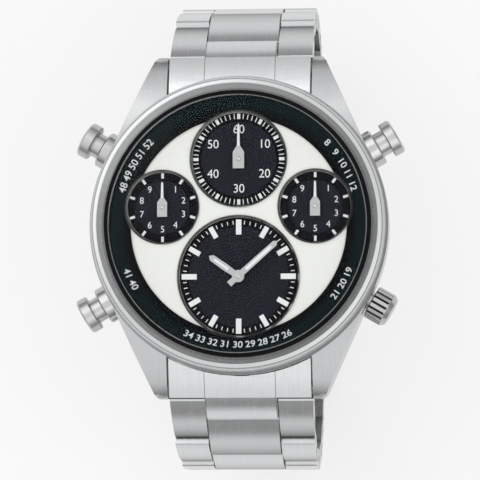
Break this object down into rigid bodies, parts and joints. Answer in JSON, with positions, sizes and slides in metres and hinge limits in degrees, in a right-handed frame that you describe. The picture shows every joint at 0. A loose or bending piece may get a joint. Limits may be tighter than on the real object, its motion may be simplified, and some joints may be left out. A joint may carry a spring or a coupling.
{
  "type": "chronograph wristwatch",
  "caption": "Steel wristwatch with chronograph sub-dials, push buttons, a fluted crown and a link bracelet closed by a folding clasp.",
  "frame": {"origin": "centre of the case back's outer face", "axes": "+Z out of the dial, +Y to 12 o'clock, +X to 3 o'clock"},
  "size_m": [0.0464, 0.0678, 0.0548],
  "materials": {
    "brushed_case_steel": "fine straight and circular brushing",
    "brushed_link_steel": "fine brushing along the bracelet",
    "polished_steel": "polished",
    "spring_steel": "drawn wire",
    "crystal_glass": "clear, slightly domed",
    "seal_rubber": "smooth",
    "dial_white": "matt off-white",
    "dial_black": "concentric fine grooves",
    "flange_black": "satin black with a teal sheen",
    "lume_white": "matt",
    "hand_silver": "satin",
    "movement_plastic": "moulded",
    "movement_plate": "stamped and plated",
    "circuit_green": "solder mask",
    "coil_copper": "enamelled wire",
    "cell_steel": "plain",
    "wheel_brass": "plain"
  },
  "bodies": {
    "case": {"case_middle": "brushed_case_steel", "bezel": "brushed_case_steel", "crystal": "crystal_glass", "gaskets": "seal_rubber", "case_back": "polished_steel", "dial_plate": "dial_white", "seconds_subdial": "dial_black", "time_subdial": "dial_black", "split_subdials": "dial_black", "subdial_rims": "polished_steel", "time_markers": "lume_white", "flange_ring": "flange_black", "movement_holder": "movement_plastic", "main_plate": "movement_plate", "train_bridge": "movement_plate", "circuit_board": "circuit_green", "rechargeable_cell": "cell_steel", "motor_coils": "coil_copper", "crown_tube": "polished_steel", "start_spring": "spring_steel", "reset_spring": "spring_steel", "mode_spring": "spring_steel", "pusher_tubes": "polished_steel", "end_link_12": "brushed_link_steel", "end_link_6": "brushed_link_steel", "case_spring_bars": "spring_steel"},
    "hour_set": {"hour_hand": "hand_silver", "hour_wheel": "wheel_brass"},
    "minute_set": {"minute_hand": "hand_silver", "cannon_pinion": "wheel_brass"},
    "motion_set": {"motion_wheel": "wheel_brass"},
    "seconds_set": {"seconds_hand": "hand_silver", "seconds_wheel": "wheel_brass"},
    "tenths_set": {"tenths_hand": "hand_silver", "tenths_wheel": "wheel_brass"},
    "hundredths_set": {"hundredths_hand": "hand_silver", "hundredths_wheel": "wheel_brass"},
    "crown_slider": {"crown_gasket": "seal_rubber"},
    "crown_set": {"crown": "polished_steel", "winding_stem": "polished_steel"},
    "start_button": {"start_pusher": "polished_steel"},
    "reset_button": {"reset_pusher": "polished_steel"},
    "mode_button": {"mode_pusher": "polished_steel"},
    "cover": {"clasp_cover": "brushed_link_steel"},
    "middle_blade": {"clasp_middle_blade": "polished_steel"},
    "inner_blade": {"clasp_inner_blade": "polished_steel"},
    "button_right": {"clasp_button_right": "polished_steel"},
    "button_left": {"clasp_button_left": "polished_steel"},
    "chain_12_1": {"link_12_1": "brushed_link_steel"},
    "chain_12_2": {"link_12_2": "brushed_link_steel"},
    "chain_12_3": {"link_12_3": "brushed_link_steel"},
    "chain_12_4": {"link_12_4": "brushed_link_steel"},
    "chain_12_5": {"link_12_5": "brushed_link_steel"},
    "chain_12_6": {"link_12_6": "brushed_link_steel"},
    "chain_6_1": {"link_6_1": "brushed_link_steel"},
    "chain_6_2": {"link_6_2": "brushed_link_steel"},
    "chain_6_3": {"link_6_3": "brushed_link_steel"},
    "chain_6_4": {"link_6_4": "brushed_link_steel"},
    "chain_6_5": {"link_6_5": "brushed_link_steel"},
    "chain_6_6": {"link_6_6": "brushed_link_steel"}
  },
  "joints": [
    {"name": "minute_turn", "type": "hinge", "parent": "case", "child": "minute_set", "pos_m": [0, -0.00725, 0.008], "axis": [0, 0, -1], "continuous": true},
    {"name": "hour_turn", "type": "hinge", "parent": "case", "child": "hour_set", "pos_m": [0, -0.00725, 0.008], "axis": [0, 0, -1], "continuous": true},
    {"name": "motion_turn", "type": "hinge", "parent": "case", "child": "motion_set", "pos_m": [0.0033, -0.00725, 0.008], "axis": [0, 0, -1], "continuous": true},
    {"name": "seconds_turn", "type": "hinge", "parent": "case", "child": "seconds_set", "pos_m": [0, 0.0093, 0.008], "axis": [0, 0, -1], "continuous": true},
    {"name": "tenths_turn", "type": "hinge", "parent": "case", "child": "tenths_set", "pos_m": [-0.01075, 0.00255, 0.008], "axis": [0, 0, -1], "continuous": true},
    {"name": "hundredths_turn", "type": "hinge", "parent": "case", "child": "hundredths_set", "pos_m": [0.01075, 0.00255, 0.008], "axis": [0, 0, -1], "continuous": true},
    {"name": "crown_pull", "type": "slide", "parent": "case", "child": "crown_slider", "axis": [0.866, -0.5, 0], "range_m": [0, 0.0009]},
    {"name": "crown_turn", "type": "hinge", "parent": "crown_slider", "child": "crown_set", "pos_m": [0.0213, -0.0123, 0.0049], "axis": [0.866, -0.5, 0], "continuous": true},
    {"name": "start_push", "type": "slide", "parent": "case", "child": "start_button", "axis": [-0.866, -0.5, 0], "range_m": [0, 0.001], "stiffness_N_per_m": 500, "deforming": ["start_spring"]},
    {"name": "reset_push", "type": "slide", "parent": "case", "child": "reset_button", "axis": [0.866, -0.5, 0], "range_m": [0, 0.001], "stiffness_N_per_m": 500, "deforming": ["reset_spring"]},
    {"name": "mode_push", "type": "slide", "parent": "case", "child": "mode_button", "axis": [0.866, 0.5, 0], "range_m": [0, 0.001], "stiffness_N_per_m": 500, "deforming": ["mode_spring"]},
    {"name": "link_12_1_hinge", "type": "hinge", "parent": "case", "child": "chain_12_1", "pos_m": [0, 0.02475, 0.0014], "axis": [1, 0, 0], "range_deg": [0, 19]},
    {"name": "link_12_2_hinge", "type": "hinge", "parent": "chain_12_1", "child": "chain_12_2", "pos_m": [0, 0.03, -0.00464], "axis": [1, 0, 0], "range_deg": [0, 24]},
    {"name": "link_12_3_hinge", "type": "hinge", "parent": "chain_12_2", "child": "chain_12_3", "pos_m": [0, 0.03234, -0.01229], "axis": [1, 0, 0], "range_deg": [0, 17]},
    {"name": "link_12_4_hinge", "type": "hinge", "parent": "chain_12_3", "child": "chain_12_4", "pos_m": [0, 0.03234, -0.02029], "axis": [1, 0, 0], "range_deg": [0, 16]},
    {"name": "link_12_5_hinge", "type": "hinge", "parent": "chain_12_4", "child": "chain_12_5", "pos_m": [0, 0.03013, -0.02798], "axis": [1, 0, 0], "range_deg": [0, 16.5]},
    {"name": "link_12_6_hinge", "type": "hinge", "parent": "chain_12_5", "child": "chain_12_6", "pos_m": [0, 0.02583, -0.03473], "axis": [1, 0, 0], "range_deg": [0, 18]},
    {"name": "link_6_1_hinge", "type": "hinge", "parent": "case", "child": "chain_6_1", "pos_m": [0, -0.02475, 0.0014], "axis": [-1, 0, 0], "range_deg": [0, 19]},
    {"name": "link_6_2_hinge", "type": "hinge", "parent": "chain_6_1", "child": "chain_6_2", "pos_m": [0, -0.03, -0.00464], "axis": [-1, 0, 0], "range_deg": [0, 24]},
    {"name": "link_6_3_hinge", "type": "hinge", "parent": "chain_6_2", "child": "chain_6_3", "pos_m": [0, -0.03234, -0.01229], "axis": [-1, 0, 0], "range_deg": [0, 17]},
    {"name": "link_6_4_hinge", "type": "hinge", "parent": "chain_6_3", "child": "chain_6_4", "pos_m": [0, -0.03234, -0.02029], "axis": [-1, 0, 0], "range_deg": [0, 16]},
    {"name": "link_6_5_hinge", "type": "hinge", "parent": "chain_6_4", "child": "chain_6_5", "pos_m": [0, -0.03013, -0.02798], "axis": [-1, 0, 0], "range_deg": [0, 16.5]},
    {"name": "link_6_6_hinge", "type": "hinge", "parent": "chain_6_5", "child": "chain_6_6", "pos_m": [0, -0.02583, -0.03473], "axis": [-1, 0, 0], "range_deg": [0, 18]},
    {"name": "cover_hinge", "type": "hinge", "parent": "chain_12_6", "child": "cover", "pos_m": [0, 0.01966, -0.03981], "axis": [1, 0, 0], "range_deg": [0, 39.5]},
    {"name": "middle_blade_hinge", "type": "hinge", "parent": "cover", "child": "middle_blade", "pos_m": [0, -0.01526, -0.04097], "axis": [1, 0, 0], "range_deg": [0, 80]},
    {"name": "inner_blade_hinge", "type": "hinge", "parent": "middle_blade", "child": "inner_blade", "pos_m": [0, 0.01286, -0.04037], "axis": [-1, 0, 0], "range_deg": [0, 75]},
    {"name": "clasp_button_right_push", "type": "slide", "parent": "cover", "child": "button_right", "axis": [-1, 0, 0], "range_m": [0, 0.0007], "stiffness_N_per_m": 300},
    {"name": "clasp_button_left_push", "type": "slide", "parent": "cover", "child": "button_left", "axis": [1, 0, 0], "range_m": [0, 0.0007], "stiffness_N_per_m": 300}
  ],
  "couplings": [
    {"joint": "hour_turn", "follows": "minute_turn", "ratio": 0.083333},
    {"joint": "motion_turn", "follows": "minute_turn", "ratio": -0.33333}
  ]
}
